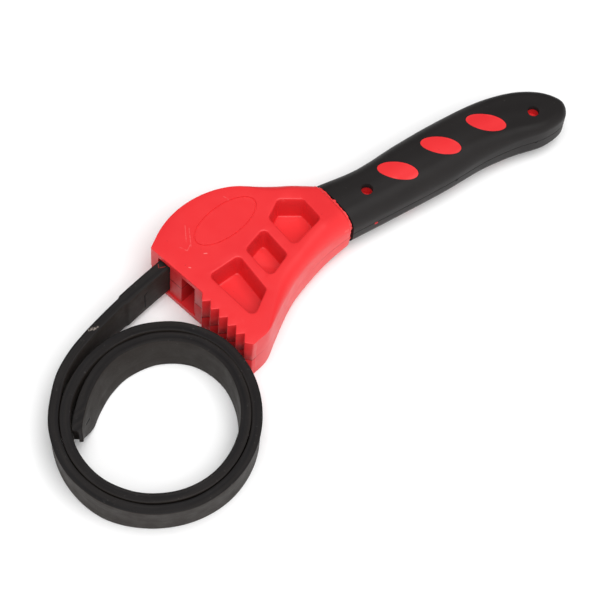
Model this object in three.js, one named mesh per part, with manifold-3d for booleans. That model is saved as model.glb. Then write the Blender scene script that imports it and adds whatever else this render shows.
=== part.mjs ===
// Rubber strap wrench for oil filters, in millimetres, +Z up, resting on its flat underside.
// +X runs along the handle to its end. The origin lies under the centre of the badge oval,
// on the underside of the head. The strap leaves the front of the head towards -X and lies
// in a coil of just over two turns beside the toothed edge.
import * as THREE from 'three';
import { mergeVertices } from 'three/addons/utils/BufferGeometryUtils.js';
import Module from 'manifold-3d';

const wasm = await Module();
wasm.setup();

// ---- Driving dimensions ----
const HEAD_T = 32;                 // thickness of the head
const MID = HEAD_T / 2;            // height of the parting plane
const GAP = 0.3;                   // clearance between neighbouring pieces
const EDGE_R = 1.2;                // small rounding of the head's edges
const PALM_R = 7;                  // large rounding of the concave edge towards the handle
const SHOULDER_R = 5;              // rounding of the convex back where it meets the handle
const NECK_BACK = [50, -5.5];      // end of the head, on the convex back
const NECK_PALM = [53, -32.6];     // and on the palm side
const NECK_GAP = 0.6;              // red seam between the head and the grip

const FACE_BACK = new THREE.Vector2(-38.6, 6.5);      // front face, corner on the convex back
const FACE_FRONT = new THREE.Vector2(-31.1, -27.4);   // front face, corner above the teeth
const TOOTH_COUNT = 6;
const TOOTH_FLANK = new THREE.Vector2(-2.9, -4.1);    // long flank, root to tip
const TOOTH_STEP = new THREE.Vector2(3.84, -1.78);    // short flank, tip to next root

const MOUTH_LIP = 3;               // top and bottom lips of the slots
const MOUTH_DEPTH = 1;             // recess of the slotted panel behind the front face
const MOUTH_SPAN = [5.2, 30.3];    // recess along the front face, from the back corner
const SLOT_AT = 8.9;               // middle of the strap slot along the front face
const SLOT_W = 6.8;
const CHANNEL_AT = 24.4;           // middle of the feed channel along the front face
const CHANNEL_W = 8.8;

const WEB_HALF_T = 1.5;            // half thickness of the web between opposite pockets
const POCKET_R = 3.5;

const BADGE_A = 19;                // badge oval, half length and half width
const BADGE_B = 8.9;
const BADGE_TURN = THREE.MathUtils.degToRad(9);
const GROOVE_W = 0.8;
const GROOVE_DEPTH = 0.4;

const GRIP_HALF_T = 12.8;
const GRIP_R = 9;                  // rounding of the grip's long edges, in height
const GRIP_ROUND = 7;              // and in plan
const TAPER = 0.2;                 // how much thinner the handle is at its end
const TAPER_FROM = 128;
const TAPER_TO = 186;
const GRIP_WALL = 3;               // thickness of the grip over the core
const CORE_R = 5;                  // rounding of the core, in height
const CORE_ROUND = 3.5;            // and in plan
const CORE_WALL = 3;
const OVAL_A = 10.3;               // red ovals standing through the grip
const OVAL_B = 5;
const OVAL_TURN = THREE.MathUtils.degToRad(-42);
const OVALS = [[89.5, -19.3], [116.5, -18.6], [144, -19.4]];
const GRIP_HOLES = [[70.2, -20.2], [169.5, -26]];
const HOLE_R = 2.9;
const HOLE_DEPTH = 2;
const PAD_R = 4.4;                 // core pads under the grip's holes

const STRAP_W = 22;
const STRAP_T = 4.8;
const STRAP_END_T = 6;             // thicker moulded end
const STRAP_END_LENGTH = 24;       // reach of the thicker end in front of the head
const CLEAR_OF_HEAD = 3.5;         // first bending axis, in front of the face
const PIN_INSET = 16;              // anchor pin behind the face
const PIN_R = 2.5;
const EYE_R = 5.6;                 // round eye of the strap on the pin
const COIL = new THREE.Vector2(-79.5, -67.5);

const SCREW_R = 1.5;
const SCREW_HEAD_R = 3.2;
const SCREW_HEAD_T = 2.4;
const SCREW_TOP = 24;
const HEAD_SCREW_SEAT = 5;         // height of the seats under the screw heads
const GRIP_SCREW_SEAT = 8;
const HEAD_SCREWS = [[1, 9], [-20.3, -57.5], [43.5, -28]];

const CURVE_STEPS = 3;             // straight steps for each curve of an outline
const BIG = 400;

// ---- Materials ----
const red = new THREE.MeshStandardMaterial({ color: 0xf03d3c, roughness: 0.42, metalness: 0 });
const black = new THREE.MeshStandardMaterial({ color: 0x2e2d2d, roughness: 0.5, metalness: 0 });
const rubber = new THREE.MeshStandardMaterial({ color: 0x2b2a29, roughness: 0.6, metalness: 0 });
const steel = new THREE.MeshStandardMaterial({ color: 0xb4b6ba, roughness: 0.3, metalness: 1 });

// ---- Solids from geometries ----
function toSolid(geometry) {
  const bare = geometry.clone();
  bare.deleteAttribute('normal');
  bare.deleteAttribute('uv');
  const merged = mergeVertices(bare, 1e-4);
  const corners = merged.index.array;
  const triVerts = [];
  for (let i = 0; i < corners.length; i += 3) {
    const [a, b, c] = corners.slice(i, i + 3);
    if (a !== b && b !== c && c !== a) triVerts.push(a, b, c);
  }
  return new wasm.Manifold(new wasm.Mesh({
    numProp: 3,
    vertProperties: new Float32Array(merged.attributes.position.array),
    triVerts: new Uint32Array(triVerts),
  }));
}

function toMesh(name, solid, material) {
  const { vertProperties, triVerts } = solid.getMesh();
  const geometry = new THREE.BufferGeometry();
  geometry.setAttribute('position', new THREE.BufferAttribute(vertProperties, 3));
  geometry.setIndex(new THREE.BufferAttribute(triVerts, 1));
  geometry.computeVertexNormals();
  const mesh = new THREE.Mesh(geometry, material);
  mesh.name = name;
  return mesh;
}

const union = (solids) => solids.reduce((sum, solid) => sum.add(solid));
const smooth = (x, x0, x1) => THREE.MathUtils.smoothstep(x, x0, x1);
const vectors = (pairs) => pairs.map(([x, y]) => new THREE.Vector2(x, y));

// The same outline as plain points, with none repeated.
function pointsOf(path) {
  const points = path.getPoints(CURVE_STEPS);
  return points.filter((point, i) => point.distanceTo(points.at(i - 1)) > 1e-3);
}

function outlineOf(shape) {
  const outline = new THREE.Shape(pointsOf(shape));
  outline.holes = (shape.holes ?? []).map((hole) => new THREE.Path(pointsOf(hole)));
  return outline;
}

// A plate from z0 to z1, its outline moved in by `inset`, its edges rounded by `edge` in
// height and by `across` in plan.
function plate(shape, z0, z1, { edge = 0, across = edge, segments = 1, inset = 0 } = {}) {
  const geometry = new THREE.ExtrudeGeometry(outlineOf(shape), {
    depth: z1 - z0 - 2 * edge,
    bevelEnabled: edge > 0,
    bevelThickness: edge,
    bevelSize: across,
    bevelOffset: -inset - across,
    bevelSegments: segments,
  });
  geometry.translate(0, 0, z0 + edge);
  return toSolid(geometry);
}

function box([x0, x1], [y0, y1], [z0, z1]) {
  const geometry = new THREE.BoxGeometry(x1 - x0, y1 - y0, z1 - z0);
  geometry.translate((x0 + x1) / 2, (y0 + y1) / 2, (z0 + z1) / 2);
  return toSolid(geometry);
}

function post([x, y], radius, z0, z1, sides = 20) {
  const geometry = new THREE.CylinderGeometry(radius, radius, z1 - z0, sides);
  geometry.rotateX(Math.PI / 2);
  geometry.translate(x, y, (z0 + z1) / 2);
  return toSolid(geometry);
}

function ovalShape([x, y], a, b, turn) {
  const shape = new THREE.Shape();
  const quarter = Math.PI / 2;
  for (let i = 0; i < 4; i++) {
    shape.absellipse(x, y, a, b, i * quarter, (i + 1) * quarter, false, turn);
  }
  return shape;
}

function roundedShape(corners, radius) {
  const shape = new THREE.Shape();
  const points = vectors(corners);
  points.forEach((corner, i) => {
    const before = points.at(i - 1).clone().sub(corner).setLength(radius).add(corner);
    const after = points[(i + 1) % points.length].clone().sub(corner).setLength(radius).add(corner);
    if (i === 0) shape.moveTo(before.x, before.y);
    else shape.lineTo(before.x, before.y);
    shape.quadraticCurveTo(corner.x, corner.y, after.x, after.y);
  });
  shape.closePath();
  return shape;
}

function barSection(width, z0, z1) {
  const half = width / 2;
  return new THREE.Shape(vectors([[-half, z0], [half, z0], [half, z1], [-half, z1]]));
}

// A route in plan. Its third coordinate carries the strap's lean along it.
const routeThrough = (points) => new THREE.CatmullRomCurve3(
  points.map(([x, y, lean = 0]) => new THREE.Vector3(x, y, lean)), false, 'centripetal');

// Bends a straight bar along a route. In its section, x points to the left of the route
// and y up. `form` changes both with the distance u = 0..1 along the route.
function sweep(section, route, steps, form = (u, left, up) => [left, up]) {
  const geometry = new THREE.ExtrudeGeometry(section, { depth: 1, steps, bevelEnabled: false });
  const position = geometry.attributes.position;
  for (let i = 0; i < position.count; i++) {
    const u = position.getZ(i);
    const point = route.getPointAt(u);
    const tangent = route.getTangentAt(u);
    const [left, up] = form(u, position.getX(i), position.getY(i), point.z);
    position.setXYZ(i, point.x - tangent.y * left, point.y + tangent.x * left, up);
  }
  return toSolid(geometry);
}

// ---- Front face and strap route ----
const faceAlong = FACE_FRONT.clone().sub(FACE_BACK).normalize();
const faceOut = new THREE.Vector2(faceAlong.y, -faceAlong.x);
const onFace = (along, out = 0) => FACE_BACK.clone()
  .addScaledVector(faceAlong, along)
  .addScaledVector(faceOut, out);

// The strap's middle line along its top edge: straight out of the slot, then round the coil.
// TURNS gives angles that grow along the strap, radii about the coil's centre, and how far
// the lower edge lies inwards of the top one.
const LEAD = [[-61, -7.4], [-75.2, -10.9], [-87.2, -14.5], [-97.1, -18.3], [-106.8, -24]];
const TURNS = [
  [133, 50.4, 0], [155, 50.4, 1], [180, 50.6, 1.6], [205, 50.0, 1.4], [230, 49.0, 2.7],
  [255, 47.4, 2.6], [280, 45.8, 1.5], [305, 44.9, 0.9], [330, 44.7, 0.4], [355, 45.9, 0.4],
  [380, 47.5, 0.4], [405, 48.0, 0.4], [430, 46.6, 0.4], [455, 44.7, 0.5], [480, 44.1, 0.7],
  [505, 44.4, 1], [530, 44.6, 1.5], [555, 44.2, 1.5], [580, 43.2, 2.2], [605, 42.0, 2.8],
  [630, 40.8, 2.1], [655, 39.6, 1.2], [680, 39.3, 0.6], [705, 40.1, 0.4], [730, 41.9, 0.3],
  [755, 42.6, 0.4], [780, 41.3, 1.1], [805, 39.6, 2.6], [825, 38.2, 3.5], [845, 37.2, 3.6],
  [862, 37.6, 3.4], [876, 38.6, 3],
];
const TAIL_FROM = 27;              // station where the loose tail begins
const onCoil = ([degrees, radius, lean]) => {
  const angle = THREE.MathUtils.degToRad(degrees);
  return [COIL.x + radius * Math.cos(angle), COIL.y + radius * Math.sin(angle), lean];
};
const slotMiddle = onFace(SLOT_AT);
const leadOut = new THREE.Vector2(...LEAD[0]).sub(slotMiddle).normalize();
const alongLead = (distance) => slotMiddle.clone().addScaledVector(leadOut, distance).toArray();
const pinAt = alongLead(-PIN_INSET);
const swingAt = alongLead(CLEAR_OF_HEAD);
const coilAt = onCoil(TURNS[0]);
const tailAt = onCoil(TURNS[TAIL_FROM]);

const leadRoute = routeThrough([swingAt, ...LEAD, coilAt]);
const coilRoute = routeThrough(TURNS.slice(0, TAIL_FROM + 1).map(onCoil));
const tailRoute = routeThrough(TURNS.slice(TAIL_FROM).map(onCoil));

// ---- Head ----
const BACK_EDGE = [[24.8, 8.9], [12, 15.8], [2, 18.5], [-8, 19], [-18.5, 17.3], [-28, 13.5]];
const PALM_EDGE = [
  [-26.2, -64.1], [-15.7, -61.6], [-7.1, -55.9], [2.2, -49.6], [13.2, -43.2], [25.4, -38.4],
  [38.5, -34.8],
];
const POCKETS = [
  [[28.5, -3.1], [39.3, -9.9], [40.5, -23.3], [20.4, -29.4], [18.7, -9.6]],
  [[13.8, -13.1], [15.2, -31.7], [1.1, -37.9], [-0.6, -18.4]],
  [[-4.8, -19.5], [-4.1, -42.3], [-17.9, -52.0], [-23.5, -21.2]],
];

function headOutline() {
  const shape = new THREE.Shape();
  shape.moveTo(...NECK_BACK);
  shape.lineTo(...BACK_EDGE[0]);
  shape.splineThru([...vectors(BACK_EDGE.slice(1)), FACE_BACK]);
  shape.lineTo(FACE_FRONT.x, FACE_FRONT.y);
  const at = FACE_FRONT.clone();
  for (let tooth = 1; tooth <= TOOTH_COUNT; tooth++) {
    at.add(TOOTH_FLANK);
    shape.lineTo(at.x, at.y);
    if (tooth < TOOTH_COUNT) {
      at.add(TOOTH_STEP);
      shape.lineTo(at.x, at.y);
    }
  }
  shape.lineTo(...PALM_EDGE[0]);
  shape.splineThru(vectors([...PALM_EDGE.slice(1), NECK_PALM]));
  shape.closePath();
  return shape;
}

// What a round edge takes off a square corner, for a radius of 1.
function edgeSection(side, up) {
  const points = [];
  const steps = 5;
  for (let i = 0; i <= steps; i++) {
    const angle = (Math.PI / 2) * (i / steps);
    points.push([side * (Math.cos(angle) - 1), up * (Math.sin(angle) - 1)]);
  }
  points.push([-side, up * 0.3], [side * 0.3, up * 0.3], [side * 0.3, -up]);
  if (THREE.ShapeUtils.isClockWise(vectors(points))) points.reverse();
  return new THREE.Shape(vectors(points));
}

function roundedEdge(route, side, up, radiusAt) {
  const height = up > 0 ? HEAD_T : 0;
  return sweep(edgeSection(side, up), route, 20, (u, left, z) => [
    left * radiusAt(u), height + z * radiusAt(u),
  ]);
}

// The feed channel: in at the front face, out through the convex back.
const channelRoute = routeThrough([
  onFace(CHANNEL_AT, 4).toArray(), onFace(CHANNEL_AT, -8).toArray(),
  [-12, -11], [2, -6.8], [15, -0.6], [25, 7.6], [33, 17],
]);

function headSolid() {
  const palmRoute = routeThrough([...PALM_EDGE.slice(1), NECK_PALM, [64, -30.9]]);
  const shoulderRoute = routeThrough([BACK_EDGE[1], BACK_EDGE[0], NECK_BACK, [62, -12.4]]);
  const palmRadius = (u) => EDGE_R + (PALM_R - EDGE_R) * smooth(u, 0, 0.35);
  const shoulderRadius = (u) => EDGE_R + (SHOULDER_R - EDGE_R) * smooth(u, 0.35, 0.75);
  const cuts = [];
  for (const up of [1, -1]) {
    cuts.push(roundedEdge(palmRoute, -1, up, palmRadius));
    cuts.push(roundedEdge(shoulderRoute, 1, up, shoulderRadius));
  }
  for (const corners of POCKETS) {
    const pocket = roundedShape(corners, POCKET_R);
    cuts.push(plate(pocket, MID + WEB_HALF_T, HEAD_T + 1));
    cuts.push(plate(pocket, -1, MID - WEB_HALF_T));
  }
  const groove = ovalShape([0, 0], BADGE_A, BADGE_B, BADGE_TURN);
  groove.holes = [ovalShape([0, 0], BADGE_A - GROOVE_W, BADGE_B - GROOVE_W, BADGE_TURN)];
  cuts.push(plate(groove, HEAD_T - GROOVE_DEPTH, HEAD_T + 1));
  const [from, to] = MOUTH_SPAN;
  const mouth = [
    onFace(from, 2), onFace(from, -MOUTH_DEPTH), onFace(to, -MOUTH_DEPTH), onFace(to, 2),
  ];
  const lips = [MOUTH_LIP, HEAD_T - MOUTH_LIP];
  cuts.push(plate(new THREE.Shape(mouth), ...lips));
  cuts.push(sweep(barSection(CHANNEL_W, ...lips), channelRoute, 20));
  cuts.push(sweep(barSection(SLOT_W, ...lips), routeThrough([alongLead(2), pinAt]), 1));
  cuts.push(post(pinAt, EYE_R + GAP, ...lips, 28));
  return plate(headOutline(), 0, HEAD_T, { edge: EDGE_R, segments: 2 }).subtract(union(cuts));
}

// ---- Handle core and grip ----
const GRIP_OUTLINE = [
  [30, -1.4], [52, -2], [74, -4.4], [100, -2.8], [127, -2.4], [152, -4.6], [172, -10.8],
  [183.3, -18.9], [187.9, -28], [184, -35.2], [172, -37.6], [154, -34.4], [137, -32.9],
  [112, -33.6], [80, -32.9], [54, -32], [30, -31.4],
];
const gripShape = new THREE.Shape();
gripShape.moveTo(...GRIP_OUTLINE[0]);
gripShape.lineTo(...GRIP_OUTLINE[1]);
gripShape.splineThru(vectors(GRIP_OUTLINE.slice(2, -1)));
gripShape.lineTo(...GRIP_OUTLINE.at(-1));
gripShape.closePath();

const gripPlate = (halfT, form) => plate(gripShape, MID - halfT, MID + halfT, form);
const neckTurn = Math.atan2(NECK_PALM[0] - NECK_BACK[0], NECK_BACK[1] - NECK_PALM[1]);
// Makes a solid thinner toward the handle's end, evenly about the parting plane.
const tapered = (solid) => solid.warp((point) => {
  const along = THREE.MathUtils.clamp((point[0] - TAPER_FROM) / (TAPER_TO - TAPER_FROM), 0, 1);
  point[2] = MID + (point[2] - MID) * (1 - TAPER * along);
});

const beyondNeck = (distance) => box([distance, BIG], [-BIG, BIG], [-BIG, BIG])
  .rotate([0, 0, THREE.MathUtils.radToDeg(neckTurn)])
  .translate([...NECK_BACK, 0]);
const gripBody = gripPlate(GRIP_HALF_T, { edge: GRIP_R, across: GRIP_ROUND, segments: 4 })
  .intersect(beyondNeck(-4));

// What fills the grip or, with `room`, the hollow that the grip leaves for it.
function coreFilling(room = 0) {
  const halfT = GRIP_HALF_T - GRIP_WALL + room;
  const padHalfT = GRIP_HALF_T - HOLE_DEPTH + room;
  const ovals = OVALS.map((at) => plate(
    ovalShape(at, OVAL_A + room, OVAL_B + room, OVAL_TURN), -1, HEAD_T + 1));
  const pads = GRIP_HOLES.map((at) => post(at, PAD_R + room, MID - padHalfT, MID + padHalfT));
  const inset = GRIP_WALL - room;
  const filling = gripPlate(halfT, { edge: CORE_R, across: CORE_ROUND, segments: 2, inset });
  return union([filling, ...ovals, ...pads]);
}

function handleCore() {
  const halfT = GRIP_HALF_T - GRIP_WALL - CORE_WALL;
  const bosses = union(GRIP_HOLES.map((at) => post(at, PAD_R, 0, HEAD_T)));
  const hollow = gripPlate(halfT, { edge: 0.5, inset: GRIP_WALL + CORE_WALL })
    .intersect(beyondNeck(CORE_WALL))
    .subtract(bosses);
  return coreFilling().intersect(gripBody).subtract(hollow);
}

function gripSolid() {
  const cuts = [coreFilling(GAP)];
  for (const at of GRIP_HOLES) {
    cuts.push(post(at, HOLE_R, MID, HEAD_T));
    cuts.push(post(at, SCREW_HEAD_R + GAP, 0, MID));
  }
  return gripBody.intersect(beyondNeck(NECK_GAP)).subtract(union(cuts));
}

const above = box([-BIG, BIG], [-BIG, BIG], [MID + GAP / 2, BIG]);
const below = box([-BIG, BIG], [-BIG, BIG], [-BIG, MID - GAP / 2]);

// ---- Screws, driven from the underside ----
function screwHole(at, seat) {
  return post(at, SCREW_HEAD_R + GAP, -1, seat)
    .add(post(at, SCREW_R + GAP, seat - 1, SCREW_TOP + GAP, 12));
}

function screwSolid([x, y], seat) {
  const bottom = seat - SCREW_HEAD_T;
  const profile = [
    [0, bottom], [SCREW_HEAD_R * 0.8, bottom], [SCREW_HEAD_R, bottom + SCREW_HEAD_T * 0.4],
    [SCREW_HEAD_R, seat - GAP], [SCREW_R, seat - GAP], [SCREW_R, SCREW_TOP - SCREW_R],
    [0, SCREW_TOP],
  ];
  const geometry = new THREE.LatheGeometry(vectors(profile), 16);
  geometry.rotateX(Math.PI / 2);
  const reach = [-SCREW_HEAD_R * 0.55, SCREW_HEAD_R * 0.55];
  const blade = [-0.45, 0.45];
  const deep = [bottom - 1, bottom + SCREW_HEAD_T / 2];
  const cross = box(reach, blade, deep).add(box(blade, reach, deep));
  return toSolid(geometry).subtract(cross).translate([x, y, 0]);
}

// ---- Strap ----
const strapLow = MID - STRAP_W / 2;   // lower edge of the strap inside the head
const strapSection = barSection(STRAP_T, 0, STRAP_W);

// A stretch of strap along the coil, its lower edge set inwards and so to the left.
const coiledStrap = (route, steps) => sweep(strapSection, route, steps,
  (u, left, up, lean) => [left + lean * (1 - up / STRAP_W), up]);

// A round bar through a bending axis that leans like the strap does there.
function leaningPost([x, y, lean], radius, low) {
  const geometry = new THREE.CylinderGeometry(radius, radius, STRAP_W, 20);
  geometry.rotateX(Math.PI / 2);
  const inwards = COIL.clone().sub(new THREE.Vector2(x, y)).setLength(lean / STRAP_W);
  geometry.translate(0, 0, -STRAP_W / 2);
  geometry.applyMatrix4(new THREE.Matrix4().makeShear(0, 0, 0, 0, -inwards.x, -inwards.y));
  geometry.translate(x, y, low + STRAP_W);
  return toSolid(geometry);
}

// Each link ends a little before the next bending axis; the next starts round on that axis.
const cutShort = (solid, axis) => solid
  .subtract(leaningPost(axis, STRAP_T / 2 + GAP, 0.01))
  .subtract(leaningPost(axis, STRAP_T / 2 + GAP, -0.01));

function strapEnd() {
  const route = routeThrough([pinAt, alongLead(CLEAR_OF_HEAD - STRAP_END_T / 2 - GAP)]);
  const low = strapLow;
  const bar = sweep(barSection(STRAP_END_T, low, low + STRAP_W), route, 1);
  return bar.add(post(pinAt, EYE_R, low, low + STRAP_W, 28))
    .subtract(post(pinAt, PIN_R + GAP, -1, HEAD_T + 1, 20));
}

function strapLead() {
  const step = STRAP_END_LENGTH / leadRoute.getLength();
  const bar = sweep(strapSection, leadRoute, 24, (u, left, up) => {
    const half = u < step ? STRAP_END_T / 2 : STRAP_T / 2;
    return [Math.sign(left) * half, up + strapLow * (1 - smooth(u, 0, 1))];
  });
  const knuckle = post(swingAt, STRAP_END_T / 2, strapLow, strapLow + STRAP_W, 20);
  return cutShort(bar.add(knuckle), coilAt);
}

function strapCoil() {
  const bar = coiledStrap(coilRoute, 90);
  return cutShort(bar.add(leaningPost(coilAt, STRAP_T / 2, 0)), tailAt);
}

function strapTail() {
  return coiledStrap(tailRoute, 10).add(leaningPost(tailAt, STRAP_T / 2, 0));
}

function anchorPin() {
  return post(pinAt, PIN_R, MOUTH_LIP + GAP, HEAD_T - MOUTH_LIP - GAP, 20);
}

// ---- Assembly ----
const headScrewHoles = HEAD_SCREWS.map((at) => screwHole(at, HEAD_SCREW_SEAT));
const gripScrewHoles = GRIP_HOLES.map((at) => screwHole(at, GRIP_SCREW_SEAT));
const body = headSolid().add(tapered(handleCore())).subtract(union([...headScrewHoles, ...gripScrewHoles]));
const grip = tapered(gripSolid());

const wrench = new THREE.Group();
const add = (name, solid, material) => wrench.add(toMesh(name, solid, material));
add('body_upper', body.intersect(above), red);
add('body_lower', body.intersect(below), red);
add('grip_upper', grip.intersect(above), black);
add('grip_lower', grip.intersect(below), black);
add('anchor_pin', anchorPin(), steel);
add('strap_end', strapEnd(), rubber);
add('strap_lead', strapLead(), rubber);
add('strap_coil', strapCoil(), rubber);
add('strap_tail', strapTail(), rubber);
HEAD_SCREWS.forEach((at, i) => {
  add(`head_screw_${i + 1}`, screwSolid(at, HEAD_SCREW_SEAT), steel);
});
GRIP_HOLES.forEach((at, i) => {
  add(`handle_screw_${i + 1}`, screwSolid(at, GRIP_SCREW_SEAT), steel);
});

export default wrench;
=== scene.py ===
"""Looks of the strap wrench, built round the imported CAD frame. Lengths are in millimetres until
a mesh is made; the frame is in metres."""
import math

import bmesh
import bpy
import numpy as np
from mathutils import Matrix, Vector
from mathutils.geometry import delaunay_2d_cdt


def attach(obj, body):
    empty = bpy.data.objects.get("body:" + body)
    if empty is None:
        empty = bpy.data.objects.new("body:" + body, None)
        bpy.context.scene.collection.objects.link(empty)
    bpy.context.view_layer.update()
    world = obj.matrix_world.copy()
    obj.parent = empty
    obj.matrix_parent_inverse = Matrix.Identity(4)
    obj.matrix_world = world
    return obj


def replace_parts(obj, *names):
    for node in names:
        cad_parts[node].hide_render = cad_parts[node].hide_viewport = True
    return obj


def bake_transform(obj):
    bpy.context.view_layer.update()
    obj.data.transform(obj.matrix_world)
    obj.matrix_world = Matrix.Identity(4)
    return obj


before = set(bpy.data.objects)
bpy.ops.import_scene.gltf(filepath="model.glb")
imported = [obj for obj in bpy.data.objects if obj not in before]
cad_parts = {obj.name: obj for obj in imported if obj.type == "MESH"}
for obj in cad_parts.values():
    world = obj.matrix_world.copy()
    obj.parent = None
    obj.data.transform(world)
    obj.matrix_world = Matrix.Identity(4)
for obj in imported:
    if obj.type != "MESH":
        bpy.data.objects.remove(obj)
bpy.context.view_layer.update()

MM = 0.001
TOP = 32.0              # thickness of the head
MID = TOP / 2           # height of the parting plane
SEAM = 0.06             # half the gap between the halves
CAVITY = (3, TOP - 3)   # height of the slot and the feed channel


# ---- Plan geometry ----
def unit(v):
    return v / np.linalg.norm(v)


def spline(points, step):
    """Centripetal Catmull-Rom curve through points, at an even step. Extra columns go along."""
    p = np.array(points, float)
    p = np.vstack([2 * p[0] - p[1], p, 2 * p[-1] - p[-2]])
    out = []
    for i in range(1, len(p) - 2):
        t = np.zeros(4)
        for k in range(3):
            t[k + 1] = t[k] + max(np.linalg.norm((p[i + k] - p[i + k - 1])[:2]), 1e-6) ** 0.5
        for s in np.linspace(t[1], t[2], 24, endpoint=False):
            q = p[i - 1:i + 3]
            a = [((t[k + 1] - s) * q[k] + (s - t[k]) * q[k + 1]) / (t[k + 1] - t[k]) for k in range(3)]
            b = [((t[k + 2] - s) * a[k] + (s - t[k]) * a[k + 1]) / (t[k + 2] - t[k]) for k in range(2)]
            out.append(((t[2] - s) * b[0] + (s - t[1]) * b[1]) / (t[2] - t[1]))
    out.append(p[-2])
    out = np.array(out)
    run = np.r_[0, np.cumsum(np.linalg.norm(np.diff(out[:, :2], axis=0), axis=1))]
    n = max(2, int(round(run[-1] / step)))
    at = np.linspace(0, run[-1], n + 1)
    return np.stack([np.interp(at, run, out[:, c]) for c in range(out.shape[1])], axis=1)


def rounded(corners, radius, steps):
    """The polygon with its corners rounded; radius is one number or one per corner."""
    c = np.array(corners, float)
    radii = np.broadcast_to(radius, len(c))
    out = []
    for i, r in enumerate(radii):
        a, b = unit(c[i - 1] - c[i]), unit(c[(i + 1) % len(c)] - c[i])
        if r <= 0:
            out.append(c[i])
            continue
        half = math.acos(np.clip(a @ b, -1, 1)) / 2
        centre = c[i] + unit(a + b) * r / math.sin(half)
        p0, p1 = c[i] + a * r / math.tan(half), c[i] + b * r / math.tan(half)
        v0, v1 = p0 - centre, p1 - centre
        sweep = math.atan2(v0[0] * v1[1] - v0[1] * v1[0], v0 @ v1)
        for k in range(steps + 1):
            q = sweep * k / steps
            c_q, s_q = math.cos(q), math.sin(q)
            out.append(centre + [v0[0] * c_q - v0[1] * s_q, v0[0] * s_q + v0[1] * c_q])
    return np.array(out)


def smooth(x, x0, x1):
    """0 up to x0, 1 from x1 on, and an even S between them."""
    t = min(max((x - x0) / (x1 - x0), 0), 1)
    return t * t * (3 - 2 * t)


def quarter(n):
    """n angles over a quarter turn."""
    return np.linspace(0, math.pi / 2, n)


def oval(centre, a, b, turn, n=96):
    """An oval with half axes a and b, turned by some degrees."""
    q = np.arange(n) * 2 * math.pi / n
    x, y = a * np.cos(q), b * np.sin(q)
    c, s = math.cos(math.radians(turn)), math.sin(math.radians(turn))
    return np.stack([centre[0] + c * x - s * y, centre[1] + s * x + c * y], axis=1)


def inwards(p):
    """For each corner of a counterclockwise outline, the step that moves its sides in by 1."""
    before, after = p - np.roll(p, 1, 0), np.roll(p, -1, 0) - p
    n0 = np.stack([-before[:, 1], before[:, 0]], 1) / np.linalg.norm(before, axis=1)[:, None]
    n1 = np.stack([-after[:, 1], after[:, 0]], 1) / np.linalg.norm(after, axis=1)[:, None]
    m = n0 + n1
    m /= np.maximum(np.linalg.norm(m, axis=1), 1e-6)[:, None]
    return m / np.maximum((m * n0).sum(1), 0.6)[:, None]


def inwards_eased(p, corners, reach):
    """The same, with the points near the sharp corners moved along as well, so that wide
    insets don't cross there."""
    step, n = inwards(p), len(p)
    for c in corners:
        before, after = unit(p[c] - p[c - 1]), unit(p[(c + 1) % n] - p[c])
        turn = math.atan2(before[0] * after[1] - before[1] * after[0], before @ after)
        for side in (1, -1):
            i, run, away = c, 0.0, (after if side > 0 else -before)
            while run < reach:
                normal = np.array([-away[1], away[0]]) * side
                step[i] = normal + away * math.tan(turn / 2) * (1 - run / reach)
                j = (i + side) % n
                run += np.linalg.norm(p[j] - p[i])
                away = unit(p[(j + side) % n] - p[j])
                i = j
    return step


def inside(points, poly):
    """True for each point that lies in the polygon."""
    x, y = points[:, 0], points[:, 1]
    hit = np.zeros(len(points), bool)
    for (x0, y0), (x1, y1) in zip(poly, np.roll(poly, -1, 0)):
        if y0 != y1:
            hit ^= ((y0 > y) != (y1 > y)) & (x < (x1 - x0) * (y - y0) / (y1 - y0) + x0)
    return hit


def distance(points, line):
    """Distance of points from a closed line."""
    best = np.full(len(points), 1e9)
    for p0, v in zip(line, np.roll(line, -1, 0) - line):
        w = points - p0
        t = np.clip((w @ v) / max(v @ v, 1e-12), 0, 1)
        best = np.minimum(best, np.linalg.norm(w - t[:, None] * v, axis=1))
    return best


# ---- Meshes ----
def linked(name, data):
    ob = bpy.data.objects.new(name, data)
    bpy.context.scene.collection.objects.link(ob)
    return ob


def new_object(name, verts, faces):
    """A closed mesh object from points in mm, with its normals outward."""
    mesh = bpy.data.meshes.new(name)
    points = [tuple(float(c) * MM for c in v) for v in verts]
    mesh.from_pydata(points, [], [tuple(int(i) for i in f) for f in faces])
    ob = linked(name, mesh)
    b = bmesh.new()
    b.from_mesh(mesh)
    bmesh.ops.remove_doubles(b, verts=b.verts, dist=1e-7)
    bmesh.ops.recalc_face_normals(b, faces=b.faces)
    b.to_mesh(mesh)
    b.free()
    return ob


def cap(outline, grid):
    """Triangles that fill an outline, with inner points on a grid: (extra points, triangles)."""
    extra = np.zeros((0, 2))
    if grid:
        low, high = outline.min(0), outline.max(0)
        xs = np.arange(low[0] + grid / 2, high[0], grid)
        ys = np.arange(low[1] + grid / 2, high[1], grid * 0.87)
        g = np.array([[x + (grid / 2 if k % 2 else 0), y] for k, y in enumerate(ys) for x in xs])
        g = g[inside(g, outline)]
        extra = g[distance(g, outline) > grid * 0.45]
    n = len(outline)
    pts = [Vector((float(x), float(y))) for x, y in np.vstack([outline, extra])]
    out = delaunay_2d_cdt(pts, [(i, (i + 1) % n) for i in range(n)], [], 1, 1e-6)
    if not all(out[3]):
        crossings = [tuple(point) for point, source in zip(out[0], out[3]) if not source]
        raise ValueError("an outline crosses itself near %s" % crossings[:3])
    back = [o[0] for o in out[3]]
    return extra, [tuple(back[i] for i in f) for f in out[2]]


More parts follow.
